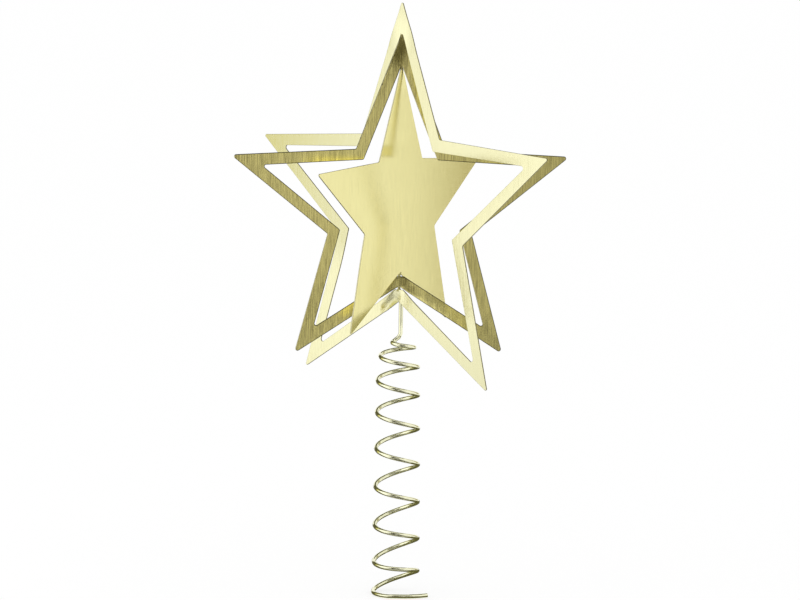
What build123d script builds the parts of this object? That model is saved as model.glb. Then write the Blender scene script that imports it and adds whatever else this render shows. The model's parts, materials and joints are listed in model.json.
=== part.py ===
from build123d import *
import math
import os

# Tree topper in millimetres: three nested brass stars, cut from one sheet and turned apart on twisted
# necks, above a wire coil that slips over the leading shoot of the tree. The origin is at the foot of
# the coil, on its axis. +Z is up, and the stars are seen from -Y.

# Sheet brass, and the saw lines that part the stars
sheet_thickness = 0.6
cut_gap = 0.35
corner_round = 0.65

# Outer star: centre to tip, centre to notch, and how deep its band is at each
star_points = 5
outer_tip_radius = 88.0
outer_notch_radius = 38.4
outer_band_at_tip = 13.0
outer_band_at_notch = 6.4

# Middle star: how deep its band is at the tips and at the notches
middle_band_at_tip = 12.2
middle_band_at_notch = 4.9

# Necks left uncut on the upright axis
neck_width = 1.0
neck_length = 1.4
neck_twist_steps = 6

# Angle of each star about the upright axis, in degrees from +X
outer_angle = -44.6
middle_angle = 3.9
inner_angle = 54.5

# Wire, its straight stem, and the solder between the stem and the outer star
wire_diameter = 1.8
stem_length = 16.1
solder_film = 0.1
solder_thickness = 0.7
solder_edge = 0.15
solder_margin = 0.7

# Coil: heights and radii of the wire's centre line, how far its last turns lean, in degrees to the right
# and to the viewer, and how its turns crowd towards each end
coil_turns = 8.25
coil_height = 107.2
coil_eye_drop = 5.2
coil_eye_radius = 2.4
coil_top_radius = 8.35
coil_foot_radius = 9.4
coil_tail = 14.0
coil_side_lean = 11.8
coil_front_lean = 4.8
coil_eye_share = 0.2
top_crowding_share = 0.83
foot_crowding_share = 0.57
top_crowding_power = 4
foot_crowding_power = 9
samples_per_turn = 48

wire_radius = wire_diameter / 2
notch_angle = math.pi / star_points


class Star:
    """Outline of one star: tip and notch radii before rounding, and the flat seats of its necks."""

    def __init__(self, tip_radius, notch_radius):
        self.tip_radius = tip_radius
        self.notch_radius = notch_radius
        rise = tip_radius - notch_radius * math.cos(notch_angle)
        self.tip_half_angle = math.atan2(notch_radius * math.sin(notch_angle), rise)
        self.notch_half_angle = self.tip_half_angle + notch_angle
        self.top_seat = None
        self.bottom_seat = None

    def within(self, gap):
        """The same star with every edge moved in by the gap."""
        tip_radius = self.tip_radius - gap / math.sin(self.tip_half_angle)
        notch_radius = self.notch_radius - gap / math.sin(self.notch_half_angle)
        return Star(tip_radius, notch_radius)

    def top_where(self, width):
        """Height at which the top point is so wide."""
        return self.tip_radius - width / 2 / math.tan(self.tip_half_angle)

    def bottom_where(self, width):
        """Height at which the bottom notch is so wide."""
        return -self.notch_radius - width / 2 / math.tan(self.notch_half_angle)

    def corners(self, tip_round, notch_round):
        """Corner points from the top, anticlockwise, each with its rounding; seats are square."""
        corners = []
        for index in range(star_points * 2):
            at_tip = index % 2 == 0
            radius = self.tip_radius if at_tip else self.notch_radius
            angle = math.pi / 2 + index * notch_angle
            rounding = tip_round if at_tip else notch_round
            corners.append((radius * math.cos(angle), radius * math.sin(angle), rounding))
        if self.bottom_seat is not None:
            half = (-self.bottom_seat - self.notch_radius) * math.tan(self.notch_half_angle)
            seat = [(-half, self.bottom_seat, 0), (half, self.bottom_seat, 0)]
            corners[star_points : star_points + 1] = seat
        if self.top_seat is not None:
            half = (self.tip_radius - self.top_seat) * math.tan(self.tip_half_angle)
            corners[0:1] = [(half, self.top_seat, 0), (-half, self.top_seat, 0)]
        return corners

    def face(self, tip_round, notch_round):
        """The star as a flat face."""
        corners = self.corners(tip_round, notch_round)
        points = [(across, up) for across, up, _ in corners]
        roundings = [rounding for _, _, rounding in corners]
        return make_face(FilletPolyline(*points, radius=roundings, close=True).edges())


# The two saw lines: each opening, and the star that is turned out of it
outer_edge = Star(outer_tip_radius, outer_notch_radius)
outer_opening = Star(outer_tip_radius - outer_band_at_tip, outer_notch_radius - outer_band_at_notch)
middle_edge = outer_opening.within(cut_gap)
middle_opening = Star(
    middle_edge.tip_radius - middle_band_at_tip,
    middle_edge.notch_radius - middle_band_at_notch,
)
inner_edge = middle_opening.within(cut_gap)


def seat_necks(opening, star):
    """Squares off the corners that a pair of necks joins, one neck length apart."""
    opening.top_seat = opening.top_where(neck_width)
    star.top_seat = opening.top_seat - neck_length
    star.bottom_seat = star.bottom_where(neck_width)
    opening.bottom_seat = star.bottom_seat - neck_length


seat_necks(outer_opening, middle_edge)
seat_necks(middle_opening, inner_edge)

# Heights from the foot up: coil, eye, stem, the solder that covers the stem's end, and the stars
eye_height = wire_radius + coil_height
stem_foot_height = eye_height + coil_eye_drop
stem_top_height = stem_foot_height + stem_length
solder_top_height = stem_top_height + solder_edge
star_centre_height = solder_top_height + solder_margin - outer_opening.bottom_seat
solder_foot_height = star_centre_height - outer_edge.notch_radius + solder_margin


def heading(angle):
    """Direction along a sheet that stands turned by so many degrees about the upright axis."""
    return Vector(math.cos(math.radians(angle)), math.sin(math.radians(angle)), 0)


def behind(angle):
    """Direction square to such a sheet, away from the viewer."""
    return Vector(-math.sin(math.radians(angle)), math.cos(math.radians(angle)), 0)


# The stars stand on the coil's axis, and the stem lies behind it, at the back of the outer star
star_centre = Vector(0, 0, star_centre_height)
outer_back = behind(outer_angle) * (sheet_thickness / 2)
stem_axis = outer_back + behind(outer_angle) * (solder_film + wire_radius)


def star_sheet(edge, opening, angle):
    """One star of sheet brass, standing on the upright axis at its own angle."""
    inward_round = corner_round + cut_gap
    face = edge.face(corner_round, inward_round)
    if opening is not None:
        face -= opening.face(inward_round, corner_round)
    along = heading(angle)
    plane = Plane(origin=star_centre, x_dir=along, z_dir=along.cross(Vector(0, 0, 1)))
    return plane * extrude(face, sheet_thickness / 2, both=True)


def neck(foot, foot_angle, top, top_angle):
    """A neck of sheet between two seats, twisted from one star's angle to the other's."""
    sections = []
    for step in range(neck_twist_steps + 1):
        share = step / neck_twist_steps
        centre = star_centre + Vector(0, 0, foot + (top - foot) * share)
        along = heading(foot_angle + (top_angle - foot_angle) * share)
        sections.append(Plane(origin=centre, x_dir=along) * Rectangle(neck_width, sheet_thickness))
    return loft(sections, ruled=True)


def stem():
    """The straight end of the wire, from the coil up the back of the outer star."""
    centre = stem_axis + Vector(0, 0, (stem_foot_height + stem_top_height) / 2)
    return Pos(centre) * Cylinder(wire_radius, stem_length)


def solder_bead():
    """Solder drawn out along both sides of the stem and over its end, short of the band's edges."""
    edge_radius = wire_radius + solder_edge
    middle_height = (solder_foot_height + solder_top_height) / 2
    foot = (edge_radius, solder_foot_height)
    top = (edge_radius, solder_top_height)
    swell = ThreePointArc(foot, (wire_radius + solder_thickness, middle_height), top)
    ends = Polyline(top, (0, solder_top_height), (0, solder_foot_height), foot)
    spindle = Pos(stem_axis) * revolve(Plane.XZ * make_face([swell, *ends.edges()]), Axis.Z)
    back = Plane(origin=outer_back, z_dir=behind(outer_angle))
    return split(spindle, bisect_by=back, keep=Keep.TOP) - stem()


def fall(share):
    """How far the coil has come down, as a share of its height, at a share of its turns."""
    top = top_crowding_share / (top_crowding_power + 1)
    foot = foot_crowding_share / (foot_crowding_power + 1)
    crowded = top * (1 - (1 - share) ** (top_crowding_power + 1))
    crowded += foot * share ** (foot_crowding_power + 1)
    return (share - crowded) / (1 - top - foot)


def coil_point(share):
    """Centre of the wire at a share of the coil's turns, from the eye at its top to its foot."""
    angle = -math.pi + share * coil_turns * math.tau
    radius = coil_top_radius + (coil_foot_radius - coil_top_radius) * share
    radius -= (radius - coil_eye_radius) * max(0, 1 - share / coil_eye_share) ** 2
    across = radius * math.cos(angle)
    away = radius * math.sin(angle)
    height = eye_height - coil_height * fall(share)
    height += across * math.tan(math.radians(coil_side_lean) * share**2)
    height -= away * math.tan(math.radians(coil_front_lean) * share)
    return Vector(across, away, height)


def coil_heading(share):
    """Direction of the wire there, by differences."""
    step = 1 / (samples_per_turn * coil_turns)
    return (coil_point(min(share + step, 1)) - coil_point(max(share - step, 0))).normalized()


def biarc(start, start_heading, end, end_heading):
    """Two arcs that leave start and reach end in the given directions, tangent where they meet."""
    chord = end - start
    along = chord.dot(start_heading + end_heading)
    bend = 2 * (1 - start_heading.dot(end_heading))
    reach = (math.sqrt(along**2 + bend * chord.dot(chord)) - along) / bend
    first = start + start_heading * reach
    second = end - end_heading * reach
    middle = (first + second) / 2
    return [
        TangentArc(start, middle, tangent=start_heading),
        TangentArc(middle, end, tangent=second - first),
    ]


def coil_path():
    """The wire's line: down from the stem, round the eye, by half turns to the foot, and a level tail."""
    halves = range(math.ceil(coil_turns * 2))
    shares = [half / (coil_turns * 2) for half in halves]
    foot = coil_point(1)
    tail_heading = coil_heading(1).project_to_plane(Plane.XY).normalized()
    stations = [(coil_point(share), coil_heading(share)) for share in shares]
    stations.append((foot, tail_heading))
    down = Vector(0, 0, -1)
    stem_foot = stem_axis + Vector(0, 0, stem_foot_height)
    before = (stem_foot + down * wire_diameter, down)
    edges = [Line(stem_foot, before[0])]
    for station in stations:
        edges += biarc(*before, *station)
        before = station
    edges.append(Line(foot, foot + tail_heading * coil_tail))
    return edges


def least_gap(path):
    """Least clear gap between points of the wire over half its own round apart along its line."""
    count = round(samples_per_turn * coil_turns)
    points = [path @ (index / count) for index in range(count + 1)]
    apart = math.ceil(math.pi * wire_diameter * count / path.length)
    pairs = ((a, b) for index, a in enumerate(points) for b in points[index + apart :])
    return min((a - b).length for a, b in pairs) - wire_diameter


def spring_coil():
    """The wound wire, one unbroken tube."""
    edges = coil_path()
    path = Wire(edges)
    tube = sweep(Plane(origin=path @ 0, z_dir=path % 0) * Circle(wire_radius), path=path)
    tightest = min(edge.radius for edge in edges if edge.geom_type == GeomType.CIRCLE)
    expected = math.pi * wire_radius**2 * path.length
    print(f"coil: {coil_turns} turns of wire, {path.length:.1f} mm long, tightest arc {tightest:.2f} mm")
    print(f"coil: volume {tube.volume:.1f} mm3, section times length {expected:.1f} mm3")
    print(f"coil: least gap to itself {least_gap(path):.2f} mm")
    return tube


parts = {
    "outer_star": star_sheet(outer_edge, outer_opening, outer_angle),
    "middle_star": star_sheet(middle_edge, middle_opening, middle_angle),
    "inner_star": star_sheet(inner_edge, None, inner_angle),
    "upper_outer_neck": neck(middle_edge.top_seat, middle_angle, outer_opening.top_seat, outer_angle),
    "lower_outer_neck": neck(outer_opening.bottom_seat, outer_angle, middle_edge.bottom_seat, middle_angle),
    "upper_inner_neck": neck(inner_edge.top_seat, inner_angle, middle_opening.top_seat, middle_angle),
    "lower_inner_neck": neck(middle_opening.bottom_seat, middle_angle, inner_edge.bottom_seat, inner_angle),
    "stem": stem(),
    "solder_bead": solder_bead(),
    "spring_coil": spring_coil(),
}

os.makedirs("parts", exist_ok=True)
for name, shape in parts.items():
    export_step(shape, f"parts/{name}.step")
print(f"stars centred {star_centre_height:.2f} mm up")
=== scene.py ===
import json
import math
from collections import Counter

import bpy
from mathutils import Matrix, Vector


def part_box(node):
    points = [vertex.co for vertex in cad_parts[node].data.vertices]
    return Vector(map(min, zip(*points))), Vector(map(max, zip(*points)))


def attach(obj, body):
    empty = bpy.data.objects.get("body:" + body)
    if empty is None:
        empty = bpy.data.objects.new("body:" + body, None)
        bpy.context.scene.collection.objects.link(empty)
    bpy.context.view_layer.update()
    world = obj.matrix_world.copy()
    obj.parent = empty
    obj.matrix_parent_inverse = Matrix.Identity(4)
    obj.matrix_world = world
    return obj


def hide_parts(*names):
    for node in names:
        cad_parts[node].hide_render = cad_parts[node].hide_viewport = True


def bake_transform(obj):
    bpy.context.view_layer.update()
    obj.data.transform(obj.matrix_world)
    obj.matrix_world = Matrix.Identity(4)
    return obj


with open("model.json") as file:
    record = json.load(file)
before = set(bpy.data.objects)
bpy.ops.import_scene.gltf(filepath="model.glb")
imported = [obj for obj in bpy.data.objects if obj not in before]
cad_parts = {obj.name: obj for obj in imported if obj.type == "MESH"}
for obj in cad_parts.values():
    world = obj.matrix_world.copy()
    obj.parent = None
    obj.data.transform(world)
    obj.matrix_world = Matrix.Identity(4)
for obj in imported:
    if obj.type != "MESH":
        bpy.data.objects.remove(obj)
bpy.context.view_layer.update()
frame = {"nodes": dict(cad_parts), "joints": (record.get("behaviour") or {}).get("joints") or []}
bpy.ops.object.select_all(action="DESELECT")
scene = bpy.context.scene


# The outer star: a five-point frame of sheet brass, brushed up and down and then sawn from the sheet that
# the other two stars come from. Its edges are filed, the necks have pulled its sheet round, its lower left
# leg is bent, and it is creased at the bottom notch, where the stem is soldered on behind.
star_axis = Vector((0, 0, 1))
star_centre = Vector(frame["joints"][1]["pos_m"])
outer_notch_radius = 0.0384
outer_roll = 0.00016
leg_bend_start = 0.0025
leg_bend_width = 0.010
outer_leg_bend = math.radians(5.3)
top_ease = math.radians(10)
top_reach = 0.012
notch_ease = math.radians(18)
notch_reach = 0.010
crease_drop = 0.0014
crease_length = 0.0105
crease_left_share = 0.72
crease_down_share = 0.69
crease_depth = 0.0005
crease_reach = 0.0034
outer_pale = (0.85, 0.83, 0.535)
outer_streak_depth = 0.00003
outer_streak_shade = 0.96
# The sawn edges carry painted light: a painted shade, and a painted highlight on those that face left.
edge_shade_paint = (0.30, 0.27, 0.13)
edge_highlight_paint = (0.80, 0.75, 0.46)
sharp_angle = math.radians(50)
shade_paint_slot = 1
highlight_paint_slot = 2


def open_for_shaping(piece):
    """Makes a piece the only one selected, and opens it in edit mode with all of it selected."""
    bpy.ops.object.select_all(action="DESELECT")
    piece.select_set(True)
    bpy.context.view_layer.objects.active = piece
    bpy.ops.object.mode_set(mode="EDIT")
    bpy.ops.mesh.select_all(action="SELECT")


def sheet_angle(node):
    """Angle of a flat upright node about the upright axis, by its widest face."""
    face = max(frame["nodes"][node].data.polygons, key=lambda polygon: polygon.area)
    square = face.normal
    if square.y > 0:
        square = -square
    return math.atan2(square.x, -square.y)


def sheet_heading(angle):
    """Direction along a sheet that stands at an angle about the upright axis."""
    return Vector((math.cos(angle), math.sin(angle), 0))


def spread_rim(star, square, amount):
    """Moves every edge of the sheet out, within the sheet."""
    edge_on = 0.1
    bpy.ops.mesh.select_mode(type="FACE")
    bpy.ops.mesh.select_all(action="DESELECT")
    bpy.ops.object.mode_set(mode="OBJECT")
    for face in star.data.polygons:
        face.select = abs(face.normal.dot(square)) < edge_on
    bpy.ops.object.mode_set(mode="EDIT")
    bpy.ops.transform.shrink_fatten(value=amount, use_even_offset=True)
    bpy.ops.mesh.select_mode(type="VERT")


def ease_neck(star, along, height, angle, reach):
    """Turns the sheet at a height on the axis where a neck pulls on it, and less and less further off."""
    place = Vector((0, 0, height))
    cuts = 8
    pulled_radius = 0.0012
    for step in range(-cuts, cuts + 1):
        for way in (along, star_axis):
            bpy.ops.mesh.select_all(action="SELECT")
            bpy.ops.mesh.bisect(plane_co=place + way * reach * step / cuts, plane_no=way)
    bpy.ops.mesh.select_all(action="DESELECT")
    bpy.ops.object.mode_set(mode="OBJECT")
    for corner in star.data.vertices:
        corner.select = (corner.co - place).length < pulled_radius
    bpy.ops.object.mode_set(mode="EDIT")
    bpy.ops.transform.rotate(value=-angle, orient_axis="Z", center_override=place, use_proportional_edit=True,
                             proportional_edit_falloff="SHARP", proportional_size=reach)


def press_crease(star, along, foot, line, depth, reach):
    """Presses the sheet back along a line across it, and less and less to either side."""
    cuts = 10
    line_slack = 0.0001
    start = 0.002
    square = line.cross(along).cross(line).normalized()
    back = line.normalized().cross(square)
    back = back if back.y > 0 else -back
    for step in range(-cuts, cuts + 1):
        bpy.ops.mesh.select_all(action="SELECT")
        bpy.ops.mesh.bisect(plane_co=foot + square * reach * step / cuts, plane_no=square)
    for step in range(cuts + 1):
        bpy.ops.mesh.select_all(action="SELECT")
        bpy.ops.mesh.bisect(plane_co=foot + line * step / cuts, plane_no=line)
    bpy.ops.mesh.select_all(action="DESELECT")
    bpy.ops.object.mode_set(mode="OBJECT")
    for corner in star.data.vertices:
        away = corner.co - foot
        run = away.dot(line.normalized())
        corner.select = abs(away.dot(square)) < line_slack and start < run < line.length
    bpy.ops.object.mode_set(mode="EDIT")
    bpy.ops.transform.translate(value=back * depth, use_proportional_edit=True,
                                proportional_edit_falloff="SMOOTH", proportional_size=reach)


def low_left_leg(angle, notch_radius):
    """Root of a star's lower left leg: a point there, the line across it and the way to the tip."""
    along = sheet_heading(angle)
    notch_fall = math.radians(18)
    bottom_notch = star_centre - star_axis * notch_radius
    to_left_notch = along * math.cos(notch_fall) + star_axis * math.sin(notch_fall)
    left_notch = star_centre - to_left_notch * notch_radius
    fold = (left_notch - bottom_notch).normalized()
    beyond = (along * -fold.z + star_axis * fold.dot(along)).normalized()
    return bottom_notch + beyond * leg_bend_start, fold, beyond


def bend_leg(star, foot, fold, beyond, angle):
    """Bends what lies beyond a line across the sheet, a little at each of a few parallel folds."""
    folds = 8
    fold_slack = 0.00001
    square = fold.cross(beyond)
    turn = Matrix((beyond, square, fold)).transposed()
    for step in range(folds):
        place = foot + beyond * leg_bend_width * step / (folds - 1)
        bpy.ops.mesh.select_all(action="SELECT")
        bpy.ops.mesh.bisect(plane_co=place, plane_no=beyond)
    for step in range(folds):
        place = foot + beyond * leg_bend_width * step / (folds - 1)
        bpy.ops.mesh.select_all(action="DESELECT")
        bpy.ops.object.mode_set(mode="OBJECT")
        for corner in star.data.vertices:
            corner.select = (corner.co - place).dot(beyond) > fold_slack
        bpy.ops.object.mode_set(mode="EDIT")
        bpy.ops.mesh.select_mode(type="VERT")
        bpy.ops.transform.rotate(value=angle / folds, orient_axis="Z", orient_type="GLOBAL",
                                 orient_matrix=turn, orient_matrix_type="GLOBAL",
                                 constraint_axis=(False, False, True), center_override=place)


def dissolve_flaps(star):
    """Dissolves each corner where only two edges meet: the bevel leaves a flap there, folded on itself."""
    bpy.ops.mesh.select_mode(type="VERT")
    bpy.ops.mesh.select_all(action="DESELECT")
    bpy.ops.object.mode_set(mode="OBJECT")
    edges_met = Counter(corner for edge in star.data.edges for corner in edge.vertices)
    for corner in star.data.vertices:
        corner.select = edges_met[corner.index] == 2
    bpy.ops.object.mode_set(mode="EDIT")
    bpy.ops.mesh.dissolve_verts()


def sawn_star(node, name, roll, eases, spread=0, leg_bend=None, crease=None,
              whole_roll_light_painted=False, highlight_paint_rise=0.2):
    """A star in the outline that the node has, welded, pulled about and filed round at its edges.

    Edges that face left take a painted highlight, unless they face up by more than highlight_paint_rise. The
    others take a painted shade, over the whole of their rounding where whole_roll_light_painted says so.
    """
    weld_distance = 0.000005
    flat_angle = math.radians(0.3)
    brushing_tile = 0.01
    widest_face_first = 100
    sheet_facing = 0.9
    left_facing = -0.2
    along = sheet_heading(sheet_angle(node))
    square = along.cross(star_axis)
    star = bpy.data.objects.new(name, frame["nodes"][node].data.copy())
    scene.collection.objects.link(star)
    star.data.materials.clear()
    open_for_shaping(star)
    bpy.ops.mesh.customdata_custom_splitnormals_clear()
    bpy.ops.mesh.remove_doubles(threshold=weld_distance)
    if spread:
        spread_rim(star, square, spread)
    for ease in eases:
        ease_neck(star, along, *ease)
    if leg_bend is not None:
        bend_leg(star, *leg_bend)
    if crease is not None:
        press_crease(star, along, *crease)
    bpy.ops.mesh.select_all(action="SELECT")
    bpy.ops.mesh.dissolve_limited(angle_limit=flat_angle)
    bpy.ops.mesh.select_all(action="DESELECT")
    bpy.ops.mesh.select_mode(type="EDGE")
    bpy.ops.mesh.edges_select_sharp(sharpness=sharp_angle)
    bpy.ops.mesh.bevel(offset=roll, segments=3, affect="EDGES", clamp_overlap=False)
    if crease is not None:
        dissolve_flaps(star)
    bpy.ops.object.mode_set(mode="OBJECT")
    rolled = {face.index for face in star.data.polygons if face.select and whole_roll_light_painted}
    bpy.ops.object.mode_set(mode="EDIT")
    bpy.ops.mesh.select_all(action="SELECT")
    bpy.ops.uv.cube_project(cube_size=brushing_tile)
    bpy.ops.object.mode_set(mode="OBJECT")
    bpy.ops.object.shade_smooth_by_angle(angle=sharp_angle)
    level = star.modifiers.new("level_faces", "WEIGHTED_NORMAL")
    level.weight = widest_face_first
    level.keep_sharp = True
    bpy.ops.object.modifier_apply(modifier=level.name)
    # Each edge face takes the painted highlight if it faces left and not too far up, and else the painted
    # shade.
    for face in star.data.polygons:
        if face.index in rolled or abs(face.normal.dot(square)) < sheet_facing:
            gets_highlight_paint = face.normal.dot(along) < left_facing and face.normal.z < highlight_paint_rise
            face.material_index = highlight_paint_slot if gets_highlight_paint else shade_paint_slot
    return star


def brushed_brass(name, colour, angle, depth, shade):
    """Sheet brass brushed up and down: fine streaks in tone, gloss and relief, and a faint tarnish."""
    tarnish_tint = (0.97, 0.95, 0.90)
    hair_share = 0.35
    material = bpy.data.materials.new(name)
    material.use_nodes = True
    nodes, links = material.node_tree.nodes, material.node_tree.links
    brass = nodes["Principled BSDF"]
    brass.inputs["Metallic"].default_value = 1
    place = nodes.new("ShaderNodeTexCoord")

    def streaks(across, along, detail):
        """Noise drawn out up and down the sheet, its marks sized in metres."""
        sheet = nodes.new("ShaderNodeMapping")
        sheet.vector_type = "TEXTURE"
        sheet.inputs["Location"].default_value = star_centre
        sheet.inputs["Rotation"].default_value = (0, 0, angle)
        sheet.inputs["Scale"].default_value = (across, across, along)
        links.new(place.outputs["Object"], sheet.inputs["Vector"])
        noise = nodes.new("ShaderNodeTexNoise")
        noise.inputs["Scale"].default_value = 1
        noise.inputs["Detail"].default_value = detail
        links.new(sheet.outputs["Vector"], noise.inputs["Vector"])
        return noise.outputs["Fac"]

    grain = streaks(across=0.00032, along=0.009, detail=3)
    hairs = streaks(across=0.00018, along=0.015, detail=2)
    tarnish = streaks(across=0.03, along=0.05, detail=2)

    both = nodes.new("ShaderNodeMath")
    both.operation = "MULTIPLY_ADD"
    both.inputs[1].default_value = hair_share
    links.new(hairs, both.inputs[0])
    links.new(grain, both.inputs[2])

    # The ramp's dark end is the colour times shade: brushing grain, and painted shade where shade is set low.
    tone = nodes.new("ShaderNodeValToRGB")
    tone.color_ramp.elements[0].position = 0.50
    tone.color_ramp.elements[0].color = (*[channel * shade for channel in colour], 1)
    tone.color_ramp.elements[1].position = 0.80
    tone.color_ramp.elements[1].color = (*colour, 1)
    links.new(both.outputs["Value"], tone.inputs["Fac"])
    dulled = nodes.new("ShaderNodeMix")
    dulled.data_type = "RGBA"
    dulled.blend_type = "MULTIPLY"
    dulled.inputs["B"].default_value = (*tarnish_tint, 1)
    links.new(tarnish, dulled.inputs["Factor"])
    links.new(tone.outputs["Color"], dulled.inputs["A"])
    links.new(dulled.outputs["Result"], brass.inputs["Base Color"])

    gloss = nodes.new("ShaderNodeMapRange")
    gloss.inputs["From Min"].default_value = 0.4
    gloss.inputs["From Max"].default_value = 0.9
    gloss.inputs["To Min"].default_value = 0.21
    gloss.inputs["To Max"].default_value = 0.14
    links.new(both.outputs["Value"], gloss.inputs["Value"])
    links.new(gloss.outputs["Result"], brass.inputs["Roughness"])

    relief = nodes.new("ShaderNodeBump")
    relief.inputs["Strength"].default_value = 1
    relief.inputs["Distance"].default_value = depth
    links.new(both.outputs["Value"], relief.inputs["Height"])
    links.new(relief.outputs["Normal"], brass.inputs["Normal"])
    lie = nodes.new("ShaderNodeTangent")
    lie.direction_type = "UV_MAP"
    lie.uv_map = "UVMap"
    links.new(lie.outputs["Tangent"], brass.inputs["Tangent"])
    brass.inputs["Anisotropic"].default_value = 0.3
    return material


def worked_brass(name, colour):
    """Brass at a sawn edge or a twisted neck: satin, uneven in tone, with the fine marks of the tool."""
    mark_shade = 0.6
    material = bpy.data.materials.new(name)
    material.use_nodes = True
    nodes, links = material.node_tree.nodes, material.node_tree.links
    brass = nodes["Principled BSDF"]
    brass.inputs["Metallic"].default_value = 1
    brass.inputs["Roughness"].default_value = 0.34
    place = nodes.new("ShaderNodeTexCoord")
    marks = nodes.new("ShaderNodeTexNoise")
    marks.inputs["Scale"].default_value = 2500
    marks.inputs["Detail"].default_value = 3
    links.new(place.outputs["Object"], marks.inputs["Vector"])
    tone = nodes.new("ShaderNodeValToRGB")
    tone.color_ramp.elements[0].position = 0.3
    tone.color_ramp.elements[0].color = (*[channel * mark_shade for channel in colour], 1)
    tone.color_ramp.elements[1].position = 0.7
    tone.color_ramp.elements[1].color = (*colour, 1)
    links.new(marks.outputs["Fac"], tone.inputs["Fac"])
    links.new(tone.outputs["Color"], brass.inputs["Base Color"])
    relief = nodes.new("ShaderNodeBump")
    relief.inputs["Strength"].default_value = 0.5
    relief.inputs["Distance"].default_value = 0.00003
    links.new(marks.outputs["Fac"], relief.inputs["Height"])
    links.new(relief.outputs["Normal"], brass.inputs["Normal"])
    return material


# Two copies of the worked edge brass: one painted dark as shade, one painted light as highlight.
shade_painted_edge = worked_brass("sawn_edge_with_painted_shade", edge_shade_paint)
highlight_painted_edge = worked_brass("sawn_edge_with_painted_highlight", edge_highlight_paint)
outer_angle = sheet_angle("outer_star")
outer_top_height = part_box("upper_outer_neck")[1].z
outer_notch_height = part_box("lower_outer_neck")[0].z
outer_eases = [(outer_top_height, top_ease, top_reach), (outer_notch_height, notch_ease, notch_reach)]
outer_bend = (*low_left_leg(outer_angle, outer_notch_radius), outer_leg_bend)
crease_way = -sheet_heading(outer_angle) * crease_left_share - star_axis * crease_down_share
crease_foot = Vector((0, 0, outer_notch_height - crease_drop))
outer_crease = (crease_foot, crease_way * crease_length, crease_depth, crease_reach)
outer_star = sawn_star("outer_star", "outer_star_plate", outer_roll, outer_eases,
                       leg_bend=outer_bend, crease=outer_crease)
outer_sheet = brushed_brass("outer_brushed_brass", outer_pale, outer_angle,
                            outer_streak_depth, outer_streak_shade)
# Its sawn edges take the painted highlight where they face left, not upward, and painted shade elsewhere.
for finish in (outer_sheet, shade_painted_edge, highlight_painted_edge):
    outer_star.data.materials.append(finish)
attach(outer_star, "outer")
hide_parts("outer_star")


# The middle star: a second frame, sawn out of the first and turned to face the viewer. It is the same
# brushed brass, its streaks darkened partly by grain and partly by painted shade, and its edges are rolled
# wide with painted shade on them, and a painted highlight where they face left and not upward. It hangs
# in the outer star by two twisted necks, which pull its sheet round.
middle_gold = (0.90, 0.815, 0.325)
# The rolled edges' near-black colour is painted shade.
middle_rolled_shade_paint = (0.07, 0.065, 0.025)
middle_streak_depth = 0.00003
# The streaks' dark tone is partly brushing grain and partly painted shade over the whole star.
middle_grain_and_painted_shade = 0.55
middle_spread = 0.0003
middle_roll = 0.00028
apex_ease = math.radians(18)
apex_reach = 0.022
lower_ease = math.radians(15)
lower_reach = 0.030
middle_angle = sheet_angle("middle_star")
middle_eases = [(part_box("upper_outer_neck")[0].z, -apex_ease, apex_reach),
                (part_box("lower_outer_neck")[1].z, -lower_ease, lower_reach)]
middle_star = sawn_star("middle_star", "middle_star_plate", middle_roll, middle_eases,
                        spread=middle_spread, whole_roll_light_painted=True)
middle_sheet = brushed_brass("middle_brushed_brass", middle_gold, middle_angle,
                             middle_streak_depth, middle_grain_and_painted_shade)
for finish in (middle_sheet, worked_brass("rolled_edge_with_painted_shade", middle_rolled_shade_paint), highlight_painted_edge):
    middle_star.data.materials.append(finish)
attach(middle_star, "middle")
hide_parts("middle_star")


# The inner star: what is left in the middle of the sheet, whole, and turned further round. It is the same
# brass, brushed most lightly, with a painted highlight on every cut that faces left and painted shade on
# the other cuts. Its lower left leg is bent a bit, and it hangs in the middle star by two twisted necks.
inner_gold = (0.92, 0.865, 0.43)
inner_streak_depth = 0.00001
inner_streak_shade = 0.96
inner_leg_bend = math.radians(1.6)
inner_ease = math.radians(6)
inner_reach = 0.012
inner_roll = 0.00016
inner_angle = sheet_angle("inner_star")
inner_notch_radius = star_centre.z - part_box("lower_inner_neck")[1].z
inner_eases = [(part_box("upper_inner_neck")[0].z, -inner_ease, inner_reach)]
inner_bend = (*low_left_leg(inner_angle, inner_notch_radius), inner_leg_bend)
inner_star = sawn_star("inner_star", "inner_star_plate", inner_roll, inner_eases,
                       leg_bend=inner_bend, highlight_paint_rise=1)
inner_sheet = brushed_brass("inner_brushed_brass", inner_gold, inner_angle,
                            inner_streak_depth, inner_streak_shade)
for finish in (inner_sheet, shade_painted_edge, highlight_painted_edge):
    inner_star.data.materials.append(finish)
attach(inner_star, "inner")
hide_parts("inner_star")


# The necks: four slivers of the sheet that the saw left standing on the upright axis. Turning a star
# twists its two necks. They spread where they grow out of the sheets, and their worked brass is painted
# dark as shade, most of all at the tips.
neck_root = 0.0008
neck_waist = 0.0011
neck_thickness = 0.00054
neck_roll = 0.00012
neck_cuts = 24
neck_smooth_angle = math.radians(35)
tip_flare = 1.35
notch_flare = 2.2
# Both neck colours are painted shade, the darker one at the tips.
tip_neck_shade_paint = (0.30, 0.26, 0.10)
notch_neck_shade_paint = (0.46, 0.42, 0.17)


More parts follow.
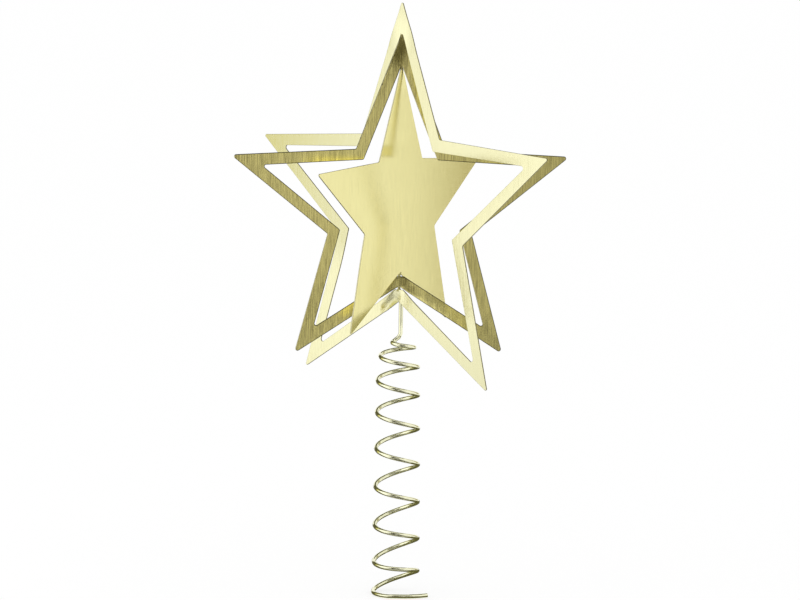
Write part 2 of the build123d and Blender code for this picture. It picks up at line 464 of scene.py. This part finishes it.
def twisted_neck(node, lower_angle, upper_angle, flare):
    """A sliver of sheet between two stars, twisted from one angle to the other, its ends flared."""
    end_slack = 0.00001
    low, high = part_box(node)
    tall = high.z - low.z
    half = tall / 2 + neck_root
    bpy.ops.object.select_all(action="DESELECT")
    bpy.ops.mesh.primitive_cube_add(size=1)
    neck = bpy.context.object
    neck.name = node + "_twist"
    neck.dimensions = (neck_waist, neck_thickness, tall + 2 * neck_root)
    bpy.ops.object.transform_apply(location=False, rotation=False, scale=True)
    open_for_shaping(neck)
    for step in range(1, neck_cuts):
        height = (step / neck_cuts - 0.5) * (tall + 2 * neck_root)
        bpy.ops.mesh.select_all(action="SELECT")
        bpy.ops.mesh.bisect(plane_co=(0, 0, height), plane_no=(0, 0, 1))
    bpy.ops.mesh.select_all(action="DESELECT")
    bpy.ops.object.mode_set(mode="OBJECT")
    for corner in neck.data.vertices:
        corner.select = abs(corner.co.z) > half - end_slack
    bpy.ops.object.mode_set(mode="EDIT")
    bpy.ops.transform.resize(value=(flare, 1, 1), center_override=(0, 0, 0), use_proportional_edit=True,
                             proportional_edit_falloff="SMOOTH", proportional_size=half)
    bpy.ops.mesh.select_all(action="DESELECT")
    bpy.ops.mesh.select_mode(type="EDGE")
    bpy.ops.mesh.edges_select_sharp(sharpness=sharp_angle)
    bpy.ops.mesh.bevel(offset=neck_roll, segments=2, affect="EDGES", clamp_overlap=True)
    bpy.ops.object.mode_set(mode="OBJECT")
    twist = neck.modifiers.new("turned_star", "SIMPLE_DEFORM")
    twist.deform_method = "TWIST"
    twist.deform_axis = "Z"
    twist.angle = upper_angle - lower_angle
    bpy.ops.object.modifier_apply(modifier=twist.name)
    neck.location = (0, 0, (low.z + high.z) / 2)
    neck.rotation_euler = (0, 0, (lower_angle + upper_angle) / 2)
    bpy.ops.object.transform_apply(location=True, rotation=True, scale=False)
    bpy.ops.object.shade_smooth_by_angle(angle=neck_smooth_angle)
    return neck


tip_neck_painted_shade_brass = worked_brass("tip_neck_painted_shade_brass", tip_neck_shade_paint)
notch_neck_painted_shade_brass = worked_brass("notch_neck_painted_shade_brass", notch_neck_shade_paint)
upper_outer_angles = (middle_angle - apex_ease, outer_angle + top_ease)
lower_outer_angles = (outer_angle + notch_ease, middle_angle - lower_ease)
upper_inner_angles = (inner_angle - inner_ease, middle_angle)
lower_inner_angles = (middle_angle, inner_angle)
for node, angles, parent, child, slot in (
    ("upper_outer_neck", upper_outer_angles, "outer", "middle", "outer_brass"),
    ("lower_outer_neck", lower_outer_angles, "outer", "middle", "outer_brass"),
    ("upper_inner_neck", upper_inner_angles, "middle", "inner", "inner_brass"),
    ("lower_inner_neck", lower_inner_angles, "middle", "inner", "inner_brass"),
):
    at_tip = node.startswith("upper")
    neck = twisted_neck(node, *angles, tip_flare if at_tip else notch_flare)
    neck.data.materials.append(tip_neck_painted_shade_brass if at_tip else notch_neck_painted_shade_brass)
    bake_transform(neck)
    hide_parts(node)


# The wire: one length of bright drawn brass wire, its cut ends filed round. Its straight end is the stem
# behind the outer star, and the rest is wound left-handed into the loose coil that slips over the shoot
# of the tree, crowded and leaning as it was bent by hand.
stem_low, stem_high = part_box("stem")
wire_radius = (stem_high.x - stem_low.x) / 2
wire_cut_roll = 0.0002
wire_gold = (0.95, 0.94, 0.67)
coil_turns = 8.25
coil_height = 0.1072
coil_eye_radius = 0.0024
coil_eye_share = 0.2
coil_eye_shift = 0.0013
coil_top_radius = 0.00835
coil_foot_radius = 0.0094
coil_side_lean = math.radians(11.8)
coil_front_lean = math.radians(4.8)
coil_settle_share = 0.97
coil_tail = 0.014
tail_radius = 0.020
tail_points = 5
top_crowding_share = 0.83
top_crowding_power = 4
foot_crowding_share = 0.57
foot_crowding_power = 9
points_per_turn = 24


def fall(share):
    """How far the coil has come down, as a share of its height, at a share of its turns."""
    top = top_crowding_share / (top_crowding_power + 1)
    foot = foot_crowding_share / (foot_crowding_power + 1)
    crowded = top * (1 - (1 - share) ** (top_crowding_power + 1))
    crowded += foot * share ** (foot_crowding_power + 1)
    return (share - crowded) / (1 - top - foot)


def coil_point(share):
    """Centre of the wire at a share of the coil's turns, from the eye at its top to its foot."""
    angle = -math.pi + share * coil_turns * math.tau
    radius = coil_top_radius + (coil_foot_radius - coil_top_radius) * share
    radius -= (radius - coil_eye_radius) * max(0, 1 - share / coil_eye_share) ** 2
    first_turn = max(0, 1 - (2 * share * coil_turns - 1) ** 2)
    across = radius * math.cos(angle) + coil_eye_shift * first_turn**2
    away = radius * math.sin(angle)
    height = wire_radius + coil_height * (1 - fall(share))
    height += across * math.tan(coil_side_lean * share**2)
    settled = max(0, (share - coil_settle_share) / (1 - coil_settle_share))
    height -= away * math.tan(coil_front_lean * share) * (1 - settled**2 * (3 - 2 * settled))
    return Vector((across, away, height))


def coil_heading(share):
    """Direction of the wire at a share of the coil's turns."""
    step = 1 / (points_per_turn * coil_turns)
    return (coil_point(min(share + step, 1)) - coil_point(max(share - step, 0))).normalized()


stem_axis = (stem_low + stem_high) / 2
stem_top = Vector((stem_axis.x, stem_axis.y, stem_high.z))
stem_foot = Vector((stem_axis.x, stem_axis.y, stem_low.z - 2 * wire_radius))
stations = [(stem_top, -star_axis), (stem_foot, -star_axis)]
steps = round(points_per_turn * coil_turns)
stations += [(coil_point(step / steps), coil_heading(step / steps)) for step in range(steps)]
coil_foot = coil_point(1)
tail_heading = Vector((*coil_heading(1).xy, 0)).normalized()
inward = star_axis.cross(tail_heading)
for step in range(tail_points):
    bend = step / (tail_points - 1) * coil_tail / tail_radius
    place = coil_foot + (tail_heading * math.sin(bend) + inward * (1 - math.cos(bend))) * tail_radius
    stations.append((place, tail_heading * math.cos(bend) + inward * math.sin(bend)))

line = bpy.data.curves.new("wire_line", "CURVE")
line.dimensions = "3D"
line.resolution_u = 3
line.bevel_depth = wire_radius
line.bevel_resolution = 8
line.use_fill_caps = True
run = line.splines.new("BEZIER")
run.bezier_points.add(len(stations) - 1)
for index, (point, (place, way)) in enumerate(zip(run.bezier_points, stations)):
    before = stations[max(index - 1, 0)][0]
    after = stations[min(index + 1, len(stations) - 1)][0]
    point.co = place
    point.handle_left_type = point.handle_right_type = "FREE"
    point.handle_left = place - way * (place - before).length / 3
    point.handle_right = place + way * (after - place).length / 3
wire = bpy.data.objects.new("spring_wire", line)
scene.collection.objects.link(wire)
bpy.ops.object.select_all(action="DESELECT")
wire.select_set(True)
bpy.context.view_layer.objects.active = wire
bpy.ops.object.convert(target="MESH")
wire = bpy.context.object
open_for_shaping(wire)
bpy.ops.mesh.select_all(action="DESELECT")
bpy.ops.mesh.select_mode(type="EDGE")
bpy.ops.mesh.edges_select_sharp(sharpness=sharp_angle)
bpy.ops.mesh.bevel(offset=wire_cut_roll, segments=3, affect="EDGES", clamp_overlap=True)
bpy.ops.object.mode_set(mode="OBJECT")
bpy.ops.object.shade_smooth_by_angle(angle=sharp_angle)


def drawn_brass(name, colour):
    """Bright drawn wire: fine lines along it, and a faint uneven tarnish."""
    tarnish_shade = 0.9
    lines_round, lines_along = 36, 60
    material = bpy.data.materials.new(name)
    material.use_nodes = True
    nodes, links = material.node_tree.nodes, material.node_tree.links
    brass = nodes["Principled BSDF"]
    brass.inputs["Metallic"].default_value = 1
    place = nodes.new("ShaderNodeTexCoord")
    tarnish = nodes.new("ShaderNodeTexNoise")
    tarnish.inputs["Scale"].default_value = 220
    tarnish.inputs["Detail"].default_value = 4
    links.new(place.outputs["Object"], tarnish.inputs["Vector"])
    tone = nodes.new("ShaderNodeValToRGB")
    tone.color_ramp.elements[0].position = 0.3
    tone.color_ramp.elements[0].color = (*[channel * tarnish_shade for channel in colour], 1)
    tone.color_ramp.elements[1].position = 0.7
    tone.color_ramp.elements[1].color = (*colour, 1)
    links.new(tarnish.outputs["Fac"], tone.inputs["Fac"])
    links.new(tone.outputs["Color"], brass.inputs["Base Color"])
    gloss = nodes.new("ShaderNodeMapRange")
    gloss.inputs["To Min"].default_value = 0.05
    gloss.inputs["To Max"].default_value = 0.14
    links.new(tarnish.outputs["Fac"], gloss.inputs["Value"])
    links.new(gloss.outputs["Result"], brass.inputs["Roughness"])
    drawn = nodes.new("ShaderNodeMapping")
    drawn.inputs["Scale"].default_value = (lines_round, lines_along, 1)
    links.new(place.outputs["UV"], drawn.inputs["Vector"])
    lines = nodes.new("ShaderNodeTexNoise")
    lines.inputs["Scale"].default_value = 1
    lines.inputs["Detail"].default_value = 2
    links.new(drawn.outputs["Vector"], lines.inputs["Vector"])
    relief = nodes.new("ShaderNodeBump")
    relief.inputs["Strength"].default_value = 0.4
    relief.inputs["Distance"].default_value = 0.00001
    links.new(lines.outputs["Fac"], relief.inputs["Height"])
    links.new(relief.outputs["Normal"], brass.inputs["Normal"])
    return material


wire.data.materials.append(drawn_brass("bright_drawn_wire", wire_gold))
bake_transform(wire)
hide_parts("spring_coil", "stem")


# The solder: a dull bead of tin run in behind the bottom notch of the outer star, along both sides of
# the stem and over its end. Its skin is frosted, as it froze.
tin_dark = (0.46, 0.45, 0.42)
tin_light = (0.66, 0.65, 0.62)


def frosted_tin(name):
    """Solder as it froze: dull and bright specks, rough and smooth in step with them."""
    material = bpy.data.materials.new(name)
    material.use_nodes = True
    nodes, links = material.node_tree.nodes, material.node_tree.links
    tin = nodes["Principled BSDF"]
    tin.inputs["Metallic"].default_value = 1
    place = nodes.new("ShaderNodeTexCoord")
    frost = nodes.new("ShaderNodeTexNoise")
    frost.inputs["Scale"].default_value = 900
    frost.inputs["Detail"].default_value = 5
    links.new(place.outputs["Object"], frost.inputs["Vector"])
    tone = nodes.new("ShaderNodeValToRGB")
    tone.color_ramp.elements[0].position = 0.35
    tone.color_ramp.elements[0].color = (*tin_dark, 1)
    tone.color_ramp.elements[1].position = 0.70
    tone.color_ramp.elements[1].color = (*tin_light, 1)
    links.new(frost.outputs["Fac"], tone.inputs["Fac"])
    links.new(tone.outputs["Color"], tin.inputs["Base Color"])
    gloss = nodes.new("ShaderNodeMapRange")
    gloss.inputs["To Min"].default_value = 0.50
    gloss.inputs["To Max"].default_value = 0.28
    links.new(frost.outputs["Fac"], gloss.inputs["Value"])
    links.new(gloss.outputs["Result"], tin.inputs["Roughness"])
    relief = nodes.new("ShaderNodeBump")
    relief.inputs["Strength"].default_value = 0.6
    relief.inputs["Distance"].default_value = 0.00008
    links.new(frost.outputs["Fac"], relief.inputs["Height"])
    links.new(relief.outputs["Normal"], tin.inputs["Normal"])
    return material


solder = frame["nodes"]["solder_bead"]
solder.data.materials.clear()
solder.data.materials.append(frosted_tin("dull_tin_solder"))


# The floor: a plain sweep of white paper. Most of what the camera and the brass see of it is an even
# white, and the rest is lit paper, which keeps a faint shadow of the coil.
paper_width = 60
paper_white = (0.99, 0.99, 0.99)
even_share = 0.7
bpy.ops.mesh.primitive_plane_add(size=paper_width, location=(0, 0, 0))
floor = bpy.context.object
floor.name = "floor"
paper = bpy.data.materials.new("white_paper")
paper.use_nodes = True
paper_nodes, paper_links = paper.node_tree.nodes, paper.node_tree.links
paper_nodes.remove(paper_nodes["Principled BSDF"])
lit = paper_nodes.new("ShaderNodeBsdfDiffuse")
lit.inputs["Color"].default_value = (*paper_white, 1)
glow = paper_nodes.new("ShaderNodeEmission")
glow.inputs["Color"].default_value = (1, 1, 1, 1)
rays = paper_nodes.new("ShaderNodeLightPath")
seen = rays.outputs["Is Camera Ray"]
for kind in ("Is Glossy Ray", "Is Transmission Ray"):
    either = paper_nodes.new("ShaderNodeMath")
    either.operation = "MAXIMUM"
    paper_links.new(seen, either.inputs[0])
    paper_links.new(rays.outputs[kind], either.inputs[1])
    seen = either.outputs["Value"]
even = paper_nodes.new("ShaderNodeMath")
even.operation = "MULTIPLY"
even.inputs[1].default_value = even_share
paper_links.new(seen, even.inputs[0])
mixed = paper_nodes.new("ShaderNodeMixShader")
paper_links.new(even.outputs["Value"], mixed.inputs["Fac"])
paper_links.new(lit.outputs["BSDF"], mixed.inputs[1])
paper_links.new(glow.outputs["Emission"], mixed.inputs[2])
paper_links.new(mixed.outputs["Shader"], paper_nodes["Material Output"].inputs["Surface"])
floor.data.materials.append(paper)


# The flags: felt cards round the topper, which show only as reflections in its metal. Those in front stand
# for the lens and the room behind it, and the others shade the ceiling, the floor and the two sides.
room_distance = -0.5
lens_distance = -0.48
left_distance = -0.40
on_floor = 0.0003
backward = (0, 1, 0)
upward, downward = (0, 0, 1), (0, 0, -1)
leftward, rightward = (-1, 0, 0), (1, 0, 0)
black_felt = (0.03, 0.028, 0.012)
brown_felt = (0.09, 0.08, 0.04)


def flag(name, centre, width, height, facing, colour):
    """A card of one even tone, seen in reflections and nowhere else."""
    bpy.ops.mesh.primitive_plane_add(size=1, location=centre)
    card = bpy.context.object
    card.name = name
    card.scale = (width, height, 1)
    card.rotation_mode = "QUATERNION"
    card.rotation_quaternion = Vector(facing).to_track_quat("Z", "Y")
    card.visible_camera = False
    card.visible_diffuse = False
    card.visible_shadow = False
    felt = bpy.data.materials.new(name + "_felt")
    felt.use_nodes = True
    nodes, links = felt.node_tree.nodes, felt.node_tree.links
    nodes.remove(nodes["Principled BSDF"])
    tone = nodes.new("ShaderNodeEmission")
    tone.inputs["Color"].default_value = (*colour, 1)
    links.new(tone.outputs["Emission"], nodes["Material Output"].inputs["Surface"])
    card.data.materials.append(felt)


flag("room_flag", (-0.1275, room_distance, 0.125), 0.425, 0.21, backward, colour=(0.70, 0.69, 0.67))
flag("dim_room_flag", (0.2625, room_distance, 0.12), 0.355, 0.22, backward, colour=(0.48, 0.47, 0.44))
flag("high_lens_flag", (-0.1375, lens_distance, 0.22), 0.315, 0.09, backward, brown_felt)
flag("lens_flag", (-0.1775, lens_distance, 0.127), 0.235, 0.096, backward, brown_felt)
flag("low_lens_flag", (-0.058, lens_distance, 0.052), 0.124, 0.054, backward, colour=(0.10, 0.09, 0.045))
flag("foot_lens_flag", (0.135, -0.49, 0.022), 0.10, 0.034, backward, black_felt)
flag("upper_lens_flag", (0.04, room_distance, 0.62), 0.46, 0.70, backward, black_felt)
flag("floor_lens_flag", (0.012, -0.16, on_floor), 0.15, 0.26, upward, black_felt)
flag("top_flag", (-0.3, 0.45, 0.6), 1.2, 0.9, downward, colour=(0.10, 0.10, 0.04))
flag("under_flag", (-0.12, 0.18, on_floor), 0.46, 0.40, upward, colour=(0.12, 0.115, 0.045))
flag("right_flag", (0.36, 0.28, 0.2), 0.26, 0.7, leftward, colour=(0.4, 0.36, 0.22))
flag("left_flag", (left_distance, 0.11, 0.2), 0.10, 0.7, rightward, colour=(0.74, 0.70, 0.28))
flag("back_left_flag", (left_distance, 0.40, 0.2), 0.48, 0.7, rightward, colour=(0.12, 0.11, 0.06))


# The lamp: one large weak softbox, to the left and a little in front. It faces right, and the outer star
# reflects it.
softbox_place = (-0.75, -0.42, 0.46)
softbox_width = 0.8
softbox_height = 0.9
softbox_watts = 0.6
softbox = bpy.data.lights.new("left_softbox", "AREA")
softbox.shape = "RECTANGLE"
softbox.size = softbox_width
softbox.size_y = softbox_height
softbox.energy = softbox_watts
lamp = bpy.data.objects.new("left_softbox", softbox)
scene.collection.objects.link(lamp)
lamp.location = softbox_place
lamp.rotation_mode = "QUATERNION"
lamp.rotation_quaternion = Vector(leftward).to_track_quat("Z", "Y")


# The studio: even white all round, as bright as the paper. Colours are shown as they are written, with
# no film look over them.
world = bpy.data.worlds.new("white_studio")
scene.world = world
world.use_nodes = True
surround = world.node_tree.nodes["Background"]
surround.inputs["Color"].default_value = (1, 1, 1, 1)
surround.inputs["Strength"].default_value = 1
scene.view_settings.view_transform = "Standard"


# The camera: the lens, pitch and roll found from the edges of the stars, aimed by the pixel at which the
# centre of the stars stands.
picture_width, picture_height = 800, 600
focal_pixels = 3357.06
pitch = math.radians(6.967)
roll = math.radians(0.716)
centre_pixel = (399.976, 210.602)
metres_per_pixel = 0.00041913
lens = bpy.data.cameras.new("camera")
lens.sensor_width = 36
lens.lens = focal_pixels / picture_width * lens.sensor_width
lens.clip_start = 0.05
camera = bpy.data.objects.new("camera", lens)
scene.collection.objects.link(camera)
forward = Vector((0, math.cos(pitch), -math.sin(pitch)))
level_up = Vector((0, math.sin(pitch), math.cos(pitch)))
level_right = Vector((1, 0, 0))
right = level_right * math.cos(roll) + level_up * math.sin(roll)
up = level_up * math.cos(roll) - level_right * math.sin(roll)
across = (centre_pixel[0] - picture_width / 2) * metres_per_pixel
above = (picture_height / 2 - centre_pixel[1]) * metres_per_pixel
eye = star_centre - forward * focal_pixels * metres_per_pixel - right * across - up * above
camera.matrix_world = Matrix((right, up, -forward)).transposed().to_4x4()
camera.location = eye
scene.camera = camera
